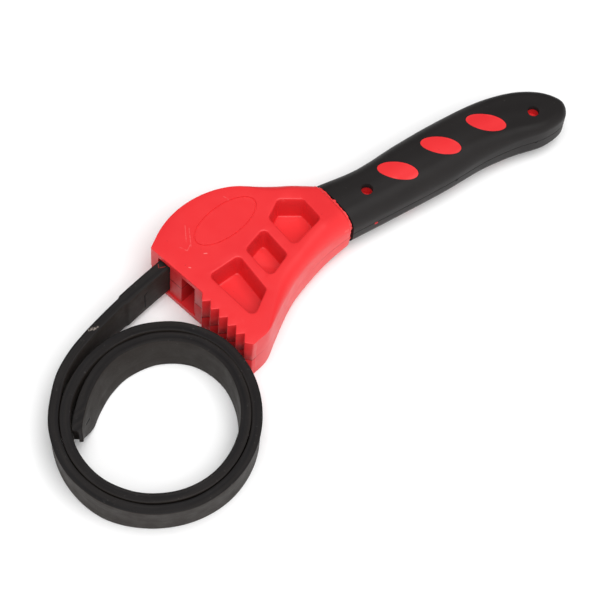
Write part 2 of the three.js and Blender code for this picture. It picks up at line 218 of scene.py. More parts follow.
def stack(name, outline, levels, grid=0, height=None, step=None):
    """A solid from loops of one outline. Each level is (inset, z), each one number or one per
    corner. `height` gives the top's z from plan points."""
    step = inwards(outline) if step is None else step
    verts, faces, n = [], [], len(outline)
    for inset, z in levels:
        p = outline + step * np.broadcast_to(inset, n)[:, None]
        verts += [(x, y, h) for (x, y), h in zip(p, np.broadcast_to(z, n))]
    for k in range(len(levels) - 1):
        for i in range(n):
            j = (i + 1) % n
            faces.append((k * n + i, k * n + j, (k + 1) * n + j, (k + 1) * n + i))
    for k, top in ((0, False), (len(levels) - 1, True)):
        ring = np.array([v[:2] for v in verts[k * n:(k + 1) * n]])
        extra, tris = cap(ring, grid if top else 0)
        base, z = len(verts), np.mean(np.broadcast_to(levels[k][1], n))
        zs = height(extra) if (top and height and len(extra)) else np.full(len(extra), z)
        verts += [(x, y, h) for (x, y), h in zip(extra, zs)]
        faces += [tuple(k * n + i if i < n else base + i - n for i in f) for f in tris]
    return new_object(name, verts, faces)


def prism(name, outline, z0, z1):
    return stack(name, np.array(outline, float), [(0, z0), (0, z1)])


def join(obs):
    """One object from several, which are then gone."""
    b = bmesh.new()
    for ob in obs:
        b.from_mesh(ob.data)
    b.to_mesh(obs[0].data)
    b.free()
    for ob in obs[1:]:
        bpy.data.objects.remove(ob)
    return obs[0]


def combine(ob, tool, operation="DIFFERENCE"):
    """Apply a boolean with the tool to the object; the tool is then gone."""
    m = ob.modifiers.new("cut", "BOOLEAN")
    m.operation, m.solver, m.object = operation, "EXACT", tool
    bpy.context.view_layer.update()
    mesh = bpy.data.meshes.new_from_object(ob.evaluated_get(bpy.context.evaluated_depsgraph_get()))
    ob.modifiers.clear()
    ob.data = mesh
    bpy.data.objects.remove(tool)
    return ob


def turned_over(ob, name):
    """The object's mirror image in the parting plane, as a new object."""
    new = linked(name, ob.data.copy())
    b = bmesh.new()
    b.from_mesh(new.data)
    for v in b.verts:
        v.co.z = TOP * MM - v.co.z
    bmesh.ops.reverse_faces(b, faces=b.faces)
    b.to_mesh(new.data)
    b.free()
    return new


def finished(ob, body, slot, material, *nodes, angle=32):
    """Smooth the object, give it its material, and put it on its body in place of the nodes."""
    ob.data.name = ob.name
    for p in ob.data.polygons:
        p.use_smooth = True
    ob.data.set_sharp_from_angle(angle=math.radians(angle))
    ob.data.materials.clear()
    ob.data.materials.append(material)
    if body:
        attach(ob, body)
    if nodes:
        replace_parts(ob, *nodes)
    return ob


def rounding(across, height, z, n):
    """Levels of a rounded upper edge, from the wall in and up to z."""
    return [(across * (1 - math.cos(a)), z - height * (1 - math.sin(a))) for a in quarter(n)]


# ---- Materials ----
class Shader:
    """A node material on a Principled BSDF. Each method adds nodes and returns their output."""

    def __init__(self, name, **values):
        self.material = bpy.data.materials.new(name)
        self.material.use_nodes = True
        self.tree = self.material.node_tree
        self.surface = self.tree.nodes["Principled BSDF"]
        for key, value in values.items():
            self.surface.inputs[key.replace("_", " ")].default_value = value
        self.place = self.tree.nodes.new("ShaderNodeTexCoord")

    def node(self, kind, inputs=None, **settings):
        n = self.tree.nodes.new("ShaderNode" + kind)
        for key, value in settings.items():
            setattr(n, key, value)
        for key, value in (inputs or {}).items():
            if isinstance(value, bpy.types.NodeSocket):
                self.tree.links.new(value, n.inputs[key])
            else:
                n.inputs[key].default_value = value
        return n

    def noise(self, scale, detail=3, rough=0.5, vector=None, stretch=None):
        vector = vector or self.place.outputs["Object"]
        if stretch:
            vector = self.node("Mapping", {"Vector": vector, "Scale": stretch}).outputs[0]
        settings = {"Vector": vector, "Scale": scale, "Detail": detail, "Roughness": rough}
        return self.node("TexNoise", settings).outputs["Fac"]

    def ramp(self, factor, stops):
        n = self.node("ValToRGB", {"Fac": factor})
        line = n.color_ramp
        while len(line.elements) < len(stops):
            line.elements.new(0.5)
        for element, (at, colour) in zip(line.elements, stops):
            element.position = at
            element.color = colour if len(colour) == 4 else (*colour, 1)
        return n.outputs["Color"]

    def grey(self, factor, stops):
        return self.ramp(factor, [(at, (v, v, v)) for at, v in stops])

    def mix(self, factor, a, b, blend="MIX"):
        n = self.node("Mix", data_type="RGBA", blend_type=blend)
        for socket, value in ((n.inputs[0], factor), (n.inputs[6], a), (n.inputs[7], b)):
            if isinstance(value, bpy.types.NodeSocket):
                self.tree.links.new(value, socket)
            else:
                socket.default_value = value if not isinstance(value, tuple) else (*value, 1)[:4]
        return n.outputs[2]

    def math(self, operation, a, b=0.0):
        return self.node("Math", {0: a, 1: b}, operation=operation).outputs[0]

    def vector_math(self, operation, a, b):
        return self.node("VectorMath", {0: a, 1: b}, operation=operation)

    def strokes(self, lines, width, vector=None):
        """1 along each line between two points in mm, fading out at width to its side."""
        vector = vector or self.place.outputs["Object"]
        total = None
        for start, end in lines:
            a = Vector((*start, 0)[:3]) * MM
            along = Vector((*end, 0)[:3]) * MM - a
            off = self.vector_math("SUBTRACT", vector, a).outputs[0]
            part = self.vector_math("DOT_PRODUCT", off, along).outputs["Value"]
            inputs = {0: part, 1: along.length_squared}
            part = self.node("Math", inputs, operation="DIVIDE", use_clamp=True).outputs[0]
            near = self.node("VectorMath", {0: along, "Scale": part}, operation="SCALE").outputs[0]
            gap = self.vector_math("DISTANCE", off, near).outputs["Value"]
            line = self.grey(self.math("DIVIDE", gap, width * MM), [(0.45, 1), (1.0, 0)])
            total = line if total is None else self.math("MAXIMUM", total, line)
        return total

    def put(self, socket, value):
        self.tree.links.new(value, self.surface.inputs[socket])

    def bumps(self, *layers):
        """Each layer is (height, distance in mm)."""
        normal = None
        for height, depth in layers:
            inputs = {"Height": height, "Distance": depth * MM, "Strength": 1.0}
            if normal:
                inputs["Normal"] = normal
            normal = self.node("Bump", inputs).outputs[0]
        self.put("Normal", normal)


# Marks on the surfaces, each a line between two points. Those on the strap are in (run along
# the strap, way round its section).
SCRATCHES = [
    ((-17.9, 8.1, TOP), (-22.3, 0.2, TOP)), ((-17, 6, TOP), (-21.8, -3.3, TOP)),
    ((-26.7, -0.7, TOP), (-24.6, -4.3, TOP)), ((-24.6, -4.3, TOP), (-21.8, -2.4, TOP)),
    ((7.0, 12.2, TOP), (8.2, 9.8, TOP)), ((8.2, 9.8, TOP), (7.4, 8.8, TOP)),
    ((36, -34, 29), (26, -38.5, 28)),
]
CHIPS = [
    ((-18.7, -10.0, TOP), (-17.5, -10.6, TOP)), ((-29, -12.6, TOP), (-28.4, -13.2, TOP)),
    ((44, -22, TOP), (44.4, -22.3, TOP)),
]
GRIP_NICKS = [((117, -33.6, 15.6), (117.6, -33.6, 15.4)), ((165, -36.4, 15.8), (165.8, -36.4, 15.6))]
GRIP_RED_SPOT = [((68.2, -32.6, 15.3), (68.8, -32.6, 15.2))]
STRAP_SCUFFS = [((61.5, 23.8), (63.5, 24.4)), ((63.5, 25.2), (65, 25.6))]
STRAP_RED_RUBS = [((16.2, 23.6), (18.6, 25.0)), ((17.8, 27), (19, 25.4))]
STRAP_CUTS = [((31.4, 4), (31.9, 15.5)), ((31.9, 15.5), (30.2, 16.6))]


def red_plastic():
    """Glossy red moulding with scratches, chips, a dark line along the parting plane and a painted
    highlight on its convex edges.
    """
    s = Shader("red_plastic", Roughness=0.4, IOR=1.47, Specular_IOR_Level=0.36)
    clouds = s.noise(28, 4)
    colour = s.ramp(clouds, [(0.3, (0.69, 0.0225, 0.0275)), (0.7, (0.75, 0.0285, 0.0315))])
    specks = s.grey(s.noise(620, 1, 0.4), [(0.765, 0), (0.80, 1)])
    colour = s.mix(s.math("MULTIPLY", specks, 0.35), colour, (0.40, 0.012, 0.012))
    # Painted highlight: convex edges are lightened toward pink.
    edge = s.node("NewGeometry").outputs["Pointiness"]
    edge_highlight = s.grey(edge, [(0.53, 0), (0.6, 1)])
    colour = s.mix(s.math("MULTIPLY", edge_highlight, 0.16), colour, (0.95, 0.16, 0.15))
    scratch = s.noise(90, 3, 0.62, stretch=(1.0, 0.14, 1.0))
    gate = s.grey(s.noise(30, 2), [(0.56, 0), (0.66, 1)])
    fine = s.grey(scratch, [(0.655, 0), (0.668, 1), (0.69, 0)])
    marks = s.math("MULTIPLY", fine, gate)
    colour = s.mix(s.math("MULTIPLY", marks, 0.3), colour, (0.97, 0.24, 0.22))
    scuffs = s.strokes(SCRATCHES, 0.3)
    scuffs = s.math("MULTIPLY", scuffs, s.grey(s.noise(900, 2), [(0.35, 0.15), (0.6, 1)]))
    colour = s.mix(s.math("MULTIPLY", scuffs, 0.14), colour, (0.98, 0.42, 0.40))
    chips = s.math("MULTIPLY", s.strokes(CHIPS, 0.34), 0.35)
    colour = s.mix(chips, colour, (0.98, 0.45, 0.42))
    height = s.node("SeparateXYZ", {0: s.place.outputs["Object"]}).outputs["Z"]
    from_seam = s.math("ABSOLUTE", s.math("SUBTRACT", height, MID * MM))
    seam = s.grey(s.math("DIVIDE", from_seam, 0.75 * MM), [(0.45, 1), (1.0, 0)])
    seam = s.math("MULTIPLY", seam, s.grey(s.noise(200, 3), [(0.3, 0.45), (0.6, 0.9)]))
    colour = s.mix(seam, colour, (0.33, 0.010, 0.012))
    s.put("Base Color", colour)
    s.put("Roughness", s.grey(s.noise(120, 5, 0.6), [(0.3, 0.34), (0.75, 0.46)]))
    s.bumps((s.noise(55, 3), 0.12), (s.noise(1500, 2), 0.012), (marks, 0.02), (scuffs, 0.05))
    return s.material


def grip_plastic():
    s = Shader("grip_black", Roughness=0.45, IOR=1.42, Specular_IOR_Level=0.14)
    colour = s.ramp(s.noise(24, 4), [(0.3, (0.0145, 0.0131, 0.0130)), (0.7, (0.0205, 0.0185, 0.0182))])
    dust = s.grey(s.noise(900, 2, 0.5), [(0.72, 0), (0.78, 1)])
    colour = s.mix(s.math("MULTIPLY", dust, 0.25), colour, (0.10, 0.095, 0.09))
    nicks = s.strokes(GRIP_NICKS, 0.8)
    colour = s.mix(nicks, colour, (0.002, 0.002, 0.002))
    colour = s.mix(s.strokes(GRIP_RED_SPOT, 0.85), colour, (0.62, 0.02, 0.025))
    s.put("Base Color", colour)
    s.put("Roughness", s.grey(s.noise(60, 5, 0.6), [(0.3, 0.40), (0.75, 0.52)]))
    s.bumps((s.noise(45, 3), 0.1), (s.noise(1900, 2), 0.014), (s.math("SUBTRACT", 1.0, nicks), 0.3))
    return s.material


def strap_rubber(strap_run):
    """Black rubber for a strap of that length, with a painted brown floor reflection on its upright sides.
    """
    s = Shader("strap_rubber", Roughness=0.6, IOR=1.42, Specular_IOR_Level=0.15)
    along = s.place.outputs["UV"]
    clouds = s.noise(40, 5, 0.6)
    colour = s.ramp(clouds, [(0.3, (0.0072, 0.0066, 0.0070)), (0.7, (0.0115, 0.0107, 0.0112))])
    streaks = s.noise(60, 4, 0.6, vector=along, stretch=(0.22, 6.0, 1.0))
    # Painted reflection of the floor: faces that stand upright are mixed toward a lighter brown.
    upright = s.node("SeparateXYZ", {0: s.node("NewGeometry").outputs["Normal"]}).outputs["Z"]
    wall = s.grey(s.math("ABSOLUTE", upright), [(0.35, 1), (0.8, 0)])
    colour = s.mix(s.math("MULTIPLY", wall, 0.75), colour, (0.030, 0.0242, 0.0205))
    pale = s.math("MULTIPLY", s.grey(streaks, [(0.4, 0), (0.75, 1)]), 0.5)
    colour = s.mix(pale, colour, (0.034, 0.029, 0.026))
    dust = s.grey(s.noise(700, 3, 0.6), [(0.66, 0), (0.78, 1)])
    colour = s.mix(s.math("MULTIPLY", dust, 0.3), colour, (0.15, 0.14, 0.13))
    broken = s.grey(s.noise(1300, 2, vector=along), [(0.42, 0), (0.55, 1)])
    scuffed = s.math("MULTIPLY", s.strokes(STRAP_SCUFFS, 0.8, along), broken)
    colour = s.mix(s.math("MULTIPLY", scuffed, 0.8), colour, (0.30, 0.26, 0.23))
    rubbed = s.math("MULTIPLY", s.strokes(STRAP_RED_RUBS, 0.2, along), 0.5)
    colour = s.mix(rubbed, colour, (0.55, 0.035, 0.025))
    cuts = s.strokes(STRAP_CUTS, 0.55, along)
    hole = s.strokes([((strap_run - 16.4, 11.5), (strap_run - 12.2, 10.6))], 0.85, along)
    cuts = s.math("MAXIMUM", cuts, hole)
    colour = s.mix(cuts, colour, (0.001, 0.001, 0.001))
    s.put("Base Color", colour)
    s.put("Roughness", s.grey(s.noise(150, 4, 0.6), [(0.3, 0.5), (0.75, 0.68)]))
    uncut = s.math("SUBTRACT", 1.0, cuts)
    s.bumps((streaks, 0.1), (s.noise(260, 4, 0.6), 0.05), (s.noise(1600, 2), 0.02), (uncut, 0.5))
    return s.material


def screw_steel():
    s = Shader("screw_steel", Metallic=1.0, Roughness=0.32)
    s.put("Base Color", s.ramp(s.noise(300, 4), [(0.3, (0.50, 0.50, 0.51)), (0.7, (0.62, 0.62, 0.63))]))
    s.put("Roughness", s.grey(s.noise(900, 3), [(0.3, 0.26), (0.75, 0.42)]))
    s.bumps((s.noise(1400, 3), 0.01))
    return s.material


RED, BLACK, STEEL = red_plastic(), grip_plastic(), screw_steel()

# ---- Front face and head outline ----
FACE_BACK, FACE_FRONT = np.array([-38.6, 6.5]), np.array([-31.1, -27.4])
along_face = unit(FACE_FRONT - FACE_BACK)
out_of_face = np.array([along_face[1], -along_face[0]])


def on_face(along, out=0.0):
    return FACE_BACK + along_face * along + out_of_face * out


NECK_BACK, NECK_PALM = np.array([50.0, -5.5]), np.array([53.0, -32.6])
neck_line = unit(NECK_BACK - NECK_PALM)
neck_out = np.array([neck_line[1], -neck_line[0]])
BACK_EDGE = [(37.5, 1.9), (24.8, 8.9), (12, 15.8), (2, 18.5), (-8, 19), (-18.5, 17.3), (-28, 13.5)]
PALM_EDGE = [
    (-26.2, -64.1), (-15.7, -61.6), (-7.1, -55.9), (2.2, -49.6), (13.2, -43.2), (25.4, -38.4),
    (38.5, -34.8),
]
NECK_RIM = 1.1          # rounding of the head's cut end
PAST_NECK = 14          # how far the outline runs on before it is cut
TOOTH_COUNT = 6
TOOTH_FLANK, TOOTH_STEP = np.array([-2.9, -4.1]), np.array([3.84, -1.78])


def head_outline():
    """Counterclockwise outline, and for each point the edge's radius in height and in plan."""
    tip_back = NECK_BACK + unit(NECK_BACK - np.array(BACK_EDGE[0])) * PAST_NECK
    tip_palm = NECK_PALM + unit(NECK_PALM - np.array(PALM_EDGE[-1])) * PAST_NECK
    back = spline([tip_back, NECK_BACK] + BACK_EDGE + [FACE_BACK], 0.9)
    teeth = [FACE_FRONT, FACE_FRONT + TOOTH_FLANK]
    for _ in range(TOOTH_COUNT - 1):
        teeth.append(teeth[-1] + TOOTH_STEP)
        teeth.append(teeth[-1] + TOOTH_FLANK)
    palm = spline(PALM_EDGE + [NECK_PALM, tip_palm], 0.9)
    corners = np.vstack([back[1:-1], [FACE_BACK], teeth, palm[:-1]])
    radii = np.zeros(len(corners))
    first = len(back) - 2                        # the face's back corner, then its front one
    last = first + 1 + len(teeth)                # the first point after the teeth
    radii[first], radii[first + 1], radii[last] = 1.1, 0.8, 1.0
    radii[first + 2:last:2] = 0.55               # tips
    radii[first + 3:last:2] = 0.3                # roots
    soft = rounded(corners, radii, 4)
    neck = [tip_palm + (tip_back - tip_palm) * t for t in np.linspace(0, 1, 18)]
    outline = np.vstack([soft, neck])
    high, wide = np.full(len(outline), 0.5), np.full(len(outline), 0.38)
    for i, p in enumerate(outline):
        past_neck = 1.0 if i >= len(soft) else smooth((p - NECK_PALM) @ neck_out, 3, 12)
        shoulder = smooth(p[0], 14, 36) if p[1] > -13 else 0
        palm_side = smooth(p[0], -22, 12) if p[1] < -25 and p[0] > -24.5 else 0
        neck_side = smooth(p[0], 20, 48)
        high[i] += 3.6 * shoulder * (1 - 0.45 * neck_side) + (6.0 + 3.2 * neck_side) * palm_side
        wide[i] += 5.5 * shoulder * (1 - 0.45 * neck_side) + (6.4 + 2.4 * neck_side) * palm_side
        high[i] += (1.5 - high[i]) * past_neck
        wide[i] += (1.5 - wide[i]) * past_neck
    return outline, high, wide, [len(soft), len(outline) - 1]


POCKETS = [
    [(18.7, -9.6), (20.4, -29.4), (40.5, -23.3), (39.3, -9.9), (28.5, -3.1)],
    [(-0.6, -18.4), (1.1, -37.9), (15.2, -31.7), (13.8, -13.1)],
    [(-23.5, -21.2), (-17.9, -52.0), (-4.1, -42.3), (-4.8, -19.5)],
]
BADGE_A, BADGE_B, BADGE_TURN = 19, 8.9, 9
SLOT_AT, SLOT_W = 8.9, 6.8              # the strap's slot, along the front face
CHANNEL_AT, CHANNEL_W = 24.4, 8.8       # the feed channel
MOUTH_SPAN = (5.2, 30.3)                # the recess round both
PIN_INSET, CLEAR_OF_HEAD = 16, 3.5      # the pin and the first bending line, from the face
PIN_R, EYE_BORE, EYE_R, EYE_ROOM = 2.5, 2.7, 5.5, 5.9
slot_middle = on_face(SLOT_AT)
lead_out = unit(np.array([-61, -7.4]) - slot_middle)


def along_lead(distance_out, left=0.0):
    return slot_middle + lead_out * distance_out + np.array([-lead_out[1], lead_out[0]]) * left


pin_at, swing_at = along_lead(-PIN_INSET), along_lead(CLEAR_OF_HEAD)


def pocket_cutter(corners):
    """A pocket with drafted walls, a rounded foot and a rounded rim."""
    foot, rim, floor_z = 0.9, 0.55, MID + 1.5
    levels = [(1.5 - foot * math.sin(a), floor_z + foot * (1 - math.cos(a))) for a in quarter(5)]
    levels += [(0.25, TOP - 5)]
    levels += [(0.1 * (1 - a) - inset, z) for a, (inset, z) in zip(quarter(5), rounding(rim, rim, TOP, 5))]
    levels += [(-rim, TOP + 1)]
    return stack("pocket", rounded(corners, 2.7, 7), levels)


def channel_cutter():
    """The feed channel, from the face to the convex back."""
    inside_head = [(-12, -11), (2, -6.8), (15, -0.6), (25, 7.6), (33, 17)]
    route = spline([on_face(CHANNEL_AT, 4), on_face(CHANNEL_AT, -8)] + inside_head, 2.0)
    t = np.gradient(route, axis=0)
    t /= np.linalg.norm(t, axis=1)[:, None]
    left = np.stack([-t[:, 1], t[:, 0]], 1) * CHANNEL_W / 2
    return prism("channel", np.vstack([route - left, (route + left)[::-1]]), *CAVITY)


def badge_cutter():
    """A fine groove with sloping sides round the badge oval."""
    n, verts, faces = 160, [], []
    section = [(-0.05, 0.3), (0.0, 0.0), (0.15, -0.5), (0.65, -0.5), (0.8, 0.0), (0.85, 0.3)]
    for inset, up in section:
        loop = oval((0, 0), BADGE_A - inset, BADGE_B - inset, BADGE_TURN, n)
        verts += [(x, y, TOP + up) for x, y in loop]
    for k in range(len(section)):
        for i in range(n):
            j, m = (i + 1) % n, (k + 1) % len(section)
            faces.append((k * n + i, k * n + j, m * n + j, m * n + i))
    return new_object("badge", verts, faces)


def beyond_neck(gap):
    """Everything on the handle's side of the neck, from that far outside it."""
    a, b = (NECK_PALM + neck_out * gap + neck_line * side for side in (-60, 90))
    return prism("neck_cut", [a, a + neck_out * 200, b + neck_out * 200, b], -5, TOP + 5)


def neck_end(head):
    """Round the edge of the head's cut end, and put the collar with its ragged flash on it."""
    b = bmesh.new()
    b.from_mesh(head.data)
    out_of_neck = Vector((*neck_out, 0))
    level = Vector((*(NECK_PALM * MM), 0)).dot(out_of_neck) - NECK_RIM * MM
    cut = [f for f in b.faces if all(abs(v.co.dot(out_of_neck) - level) < 2e-6 for v in f.verts)]
    bmesh.ops.delete(b, geom=cut, context="FACES")
    for e in [e for e in b.edges if e.is_boundary and e.calc_length() > 0.7 * MM]:
        bmesh.ops.subdivide_edges(b, edges=[e], cuts=int(e.calc_length() / MM / 0.5))
    loop = [next(v for v in b.verts if v.is_boundary)]
    edge = next(e for e in loop[0].link_edges if e.is_boundary)
    while edge.other_vert(loop[-1]) is not loop[0]:
        loop.append(edge.other_vert(loop[-1]))
        edge = next(e for e in loop[-1].link_edges if e.is_boundary and e is not edge)
    middle = (NECK_BACK + NECK_PALM) / 2
    flat = [np.array(v.co) / MM for v in loop]
    place = [((p[:2] - middle) @ neck_line, p[2] - MID) for p in flat]
    rim = [(NECK_RIM * (math.sin(a) - 1), NECK_RIM * (1 - math.cos(a)), 0) for a in quarter(5)[1:]]
    collar = [(-0.05, 1.75, 0), (0.3, 1.75, 0), (0.35, 1.4, 0), (1.15, 1.4, 1), (1.2, 2.1, 1)]
    rings = [loop]
    for out, inset, ragged in rim + collar:
        ring = []
        for t, z in place:
            q = t * 0.9 + z * 0.7
            flash = 0.14 * math.sin(q * 0.8) + 0.10 * math.sin(q * 2.1 + 1) + 0.05 * math.sin(q * 6.7)
            flash += 0.7 * math.exp(-((t - 1.6) / 0.9) ** 4) + 0.55 * math.exp(-((z - 5.2) / 1.3) ** 4)
            xy = middle + neck_line * t * (1 - inset / 13.6) + neck_out * (out + flash * ragged)
            ring.append(b.verts.new((*(xy * MM), (MID + z * (1 - inset / 13.9)) * MM)))
        rings.append(ring)
    for lower, upper in zip(rings, rings[1:]):
        for i in range(len(loop)):
            j = (i + 1) % len(loop)
            b.faces.new((lower[i], lower[j], upper[j], upper[i]))
    centre = b.verts.new((*((middle + neck_out * 0.4) * MM), (MID + 6) * MM))
    for i in range(len(loop)):
        b.faces.new((rings[-1][i], rings[-1][(i + 1) % len(loop)], centre))
    bmesh.ops.recalc_face_normals(b, faces=b.faces)
    b.to_mesh(head.data)
    b.free()


def head_half(name, upper):
    """Half of the head, above the parting plane. The lower half is set back a little."""
    outline, high, wide, corners = head_outline()
    step = inwards_eased(outline, corners, 6)
    # The tooth tips are too narrow for the full set-back.
    calm = np.array([0.35 if p[0] < -24 and p[1] < -20 else 1.0 for p in outline])
    back = (0.0 if upper else 0.3) * calm
    levels = [(back + 0.5 * calm, MID + SEAM), (back, MID + SEAM + 0.42), (back * 0.7, TOP - high)]
    levels += [(back * 0.7 + inset, z) for inset, z in rounding(wide, high, TOP, 9)[1:]]
    head = stack(name, outline, levels, grid=4, step=step)
    for v in head.data.vertices:
        to_neck = (np.array(v.co[:2]) / MM - NECK_PALM) @ neck_out
        v.co.z = (MID + (v.co.z / MM - MID) * (1 - 0.10 * smooth(to_neck, -13, 1))) * MM
    combine(head, beyond_neck(-NECK_RIM))
    neck_end(head)
    cutters = [pocket_cutter(c) for c in POCKETS]
    if upper:
        cutters.append(badge_cutter())
    combine(head, join(cutters))
    near, far = MOUTH_SPAN
    mouth = [on_face(near, 3), on_face(near, -1), on_face(far, -1), on_face(far, 3)]
    combine(head, prism("mouth", mouth, *CAVITY))
    combine(head, channel_cutter())
    ends = ((4, -1), (4, 1), (-PIN_INSET, 1), (-PIN_INSET, -1))
    slot = [along_lead(out, side * SLOT_W / 2) for out, side in ends]
    combine(head, prism("slot", slot, *CAVITY))
    combine(head, prism("eye", oval(pin_at, EYE_ROOM, EYE_ROOM, 0, 48), 3.01, TOP - 3.01))
    return head


# ---- Handle ----
GRIP_OUTLINE = [
    (40, -31.6), (54, -32), (80, -32.9), (112, -33.6), (137, -32.9), (154, -34.4), (172, -37.6),
    (184, -35.2), (187.9, -28), (183.3, -18.9), (172, -10.8), (152, -4.6), (127, -2.4),
    (100, -2.8), (74, -4.4), (52, -2), (40, -1.6),
]
GRIP_HALF_T, CROWN, GRIP_ROUND = 12.5, 0.45, 9.4
TAPER, TAPER_FROM, TAPER_TO = 0.2, 128, 186
OVALS = [(89.5, -19.3), (116.5, -18.6), (144.4, -19.2)]
OVAL_A, OVAL_B, OVAL_TURN = 10.3, 5, -42
GRIP_HOLES = [(70.2, -20.2), (169.5, -26)]
HOLE_R, GRIP_WALL = 2.9, 3.1
grip_outline = spline(GRIP_OUTLINE, 1.0)
toward_end = np.array([smooth(x, 120, 174) for x in grip_outline[:, 0]])
grip_inset = 1 - 0.52 * toward_end
grip_step = inwards(grip_outline)
grip_step[0], grip_step[-1] = (0, 1), (0, -1)


def crown(points):
    """Height of the grip's slightly domed top."""
    deep = distance(points, grip_outline)
    return MID + GRIP_HALF_T + CROWN * np.sin(np.clip((deep - GRIP_ROUND) / 6, 0, 1) * math.pi / 2)


def grip_form():
    """The whole upper half of the grip, still running on into the head."""
    levels = [(0.3, MID + SEAM), (0, MID + SEAM + 0.25)]
    levels += rounding(GRIP_ROUND * grip_inset, 9.2 - 3.6 * toward_end, MID + GRIP_HALF_T, 15)
    return stack("grip", grip_outline, levels, grid=2.2, height=crown, step=grip_step)


def tapered(ob):
    """Thinner toward the handle's end, evenly about the parting plane."""
    for v in ob.data.vertices:
        along = min(max((v.co.x / MM - TAPER_FROM) / (TAPER_TO - TAPER_FROM), 0), 1)
        v.co.z = (MID + (v.co.z / MM - MID) * (1 - TAPER * along)) * MM


def oval_posts(room):
    """The red ovals that stand through the grip, enlarged by `room`."""
    outlines = [oval(c, OVAL_A + room, OVAL_B + room, OVAL_TURN, 72) for c in OVALS]
    return join([prism("oval", outline, MID + 2, TOP + 2) for outline in outlines])


def core_form(room):
    """The handle's core inside the grip, enlarged by `room`."""
    wall = GRIP_WALL - room
    levels = [(wall * grip_inset, MID + SEAM - room)]
    levels += [((wall + a) * grip_inset, z) for a, z in rounding(5.6, 5.4, MID + 9.6 + room, 6)]
    return stack("core", grip_outline, levels, step=grip_step)


def core_half():
    """Half of the red core with its ovals, above the parting plane."""
    core = core_form(0)
    combine(core, beyond_neck(-6), "INTERSECT")
    ovals = oval_posts(0)
    shell = grip_form()
    for v in shell.data.vertices:
        v.co.z -= 0.08 * MM                      # the ovals lie just below the grip's surface
    combine(ovals, shell, "INTERSECT")
    combine(core, ovals, "UNION")
    tapered(core)
    recesses = [prism("recess", oval(c, 3.2, 3.2, 0, 40), MID + 4.0, TOP) for c in GRIP_HOLES]
    return combine(core, join(recesses))


def hole_cutter(centre):
    top = MID + GRIP_HALF_T
    levels = [(0, MID + 2), (0, top - 0.3), (-0.12, top - 0.05), (-0.45, top + 1.5)]
    return stack("hole", oval(centre, HOLE_R, HOLE_R, 0, 48), levels)


def grip_half(name):
    grip = grip_form()
    combine(grip, beyond_neck(1.95), "INTERSECT")
    combine(grip, core_form(0.1))
    combine(grip, oval_posts(0.12))
    combine(grip, join([hole_cutter(c) for c in GRIP_HOLES]))
    tapered(grip)
    grip.name = name
    return grip


# ---- Screws and pin ----
HEAD_SCREWS = [(1, 9), (-20.3, -57.5), (43.5, -28)]
HEAD_SEAT, GRIP_SEAT = 5, 8     # heights of the faces that the screw heads press on
SCREW_HEAD_R = 3.15


def turned(name, profile):
    """A body turned round Z from (radius, z) points, first and last on the axis."""
    sides, verts, faces = 48, [(0, 0, profile[0][1]), (0, 0, profile[-1][1])], []
    inner = profile[1:-1]
    for r, z in inner:
        verts += [(r * math.cos(q), r * math.sin(q), z) for q in np.arange(sides) * 2 * math.pi / sides]
    for k in range(len(inner) - 1):
        for i in range(sides):
            a, b = 2 + k * sides + i, 2 + k * sides + (i + 1) % sides
            faces.append((a, b, b + sides, a + sides))
    last = 2 + (len(inner) - 1) * sides
    for i in range(sides):
        j = (i + 1) % sides
        faces += [(0, 2 + j, 2 + i), (1, last + i, last + j)]
    return new_object(name, verts, faces)


def screw(name, centre, seat):
    """A self-tapping screw driven upwards, with its head under `seat` and a cross in it."""
    low = seat - 2.4
    dome = [(SCREW_HEAD_R * math.sin(a), low + 1.2 * (1 - math.cos(a))) for a in quarter(8)[1:]]
    thread = []
    for k in range(14):
        z = seat + 1 + k * 1.25
        thread += [(1.1, z), (1.5, z + 0.45), (1.5, z + 0.6), (1.1, z + 1.05)]
    profile = [(0, low)] + dome + [(SCREW_HEAD_R, seat - 0.3), (1.3, seat - 0.3), (1.3, seat + 0.6)]
    profile += [p for p in thread if p[1] < 17.2] + [(0.9, 17.8), (0, 19.1)]
    ob = turned(name, profile)
    levels = [(0, low - 1), (0, low + 0.3), (0.25, low + 1.5)]
    for a, b in ((1.75, 0.42), (0.42, 1.75)):
        combine(ob, stack("cross", np.array([(-a, -b), (a, -b), (a, b), (-a, b)]), levels))
    ob.data.transform(Matrix.Translation((centre[0] * MM, centre[1] * MM, 0)))
    return ob


def screw_well(centre, seat, radius):
    """The round well that lets a screw in from below, up to its seat."""
    levels = [(-0.3, -1), (-0.3, 0), (0, 0.3), (0, seat)]
    return stack("well", oval(centre, radius, radius, 0, 40), levels)


# ---- Red body and black grip ----
grip_upper = grip_half("grip_upper_skin")
grip_lower = turned_over(grip_upper, "grip_lower_skin")
combine(grip_lower, join([screw_well(c, GRIP_SEAT, 3.6) for c in GRIP_HOLES]))
core_upper = core_half()
core_lower = turned_over(core_upper, "core_lower")
body_upper = combine(head_half("body_upper_skin", True), core_upper, "UNION")
lower_head = head_half("body_lower_form", False)
body_lower = turned_over(lower_head, "body_lower_skin")
bpy.data.objects.remove(lower_head)
combine(body_lower, core_lower, "UNION")
wells = [screw_well(c, HEAD_SEAT, 3.6) for c in HEAD_SCREWS]
wells += [screw_well(c, GRIP_SEAT, 3.5) for c in GRIP_HOLES]
combine(body_lower, join(wells))

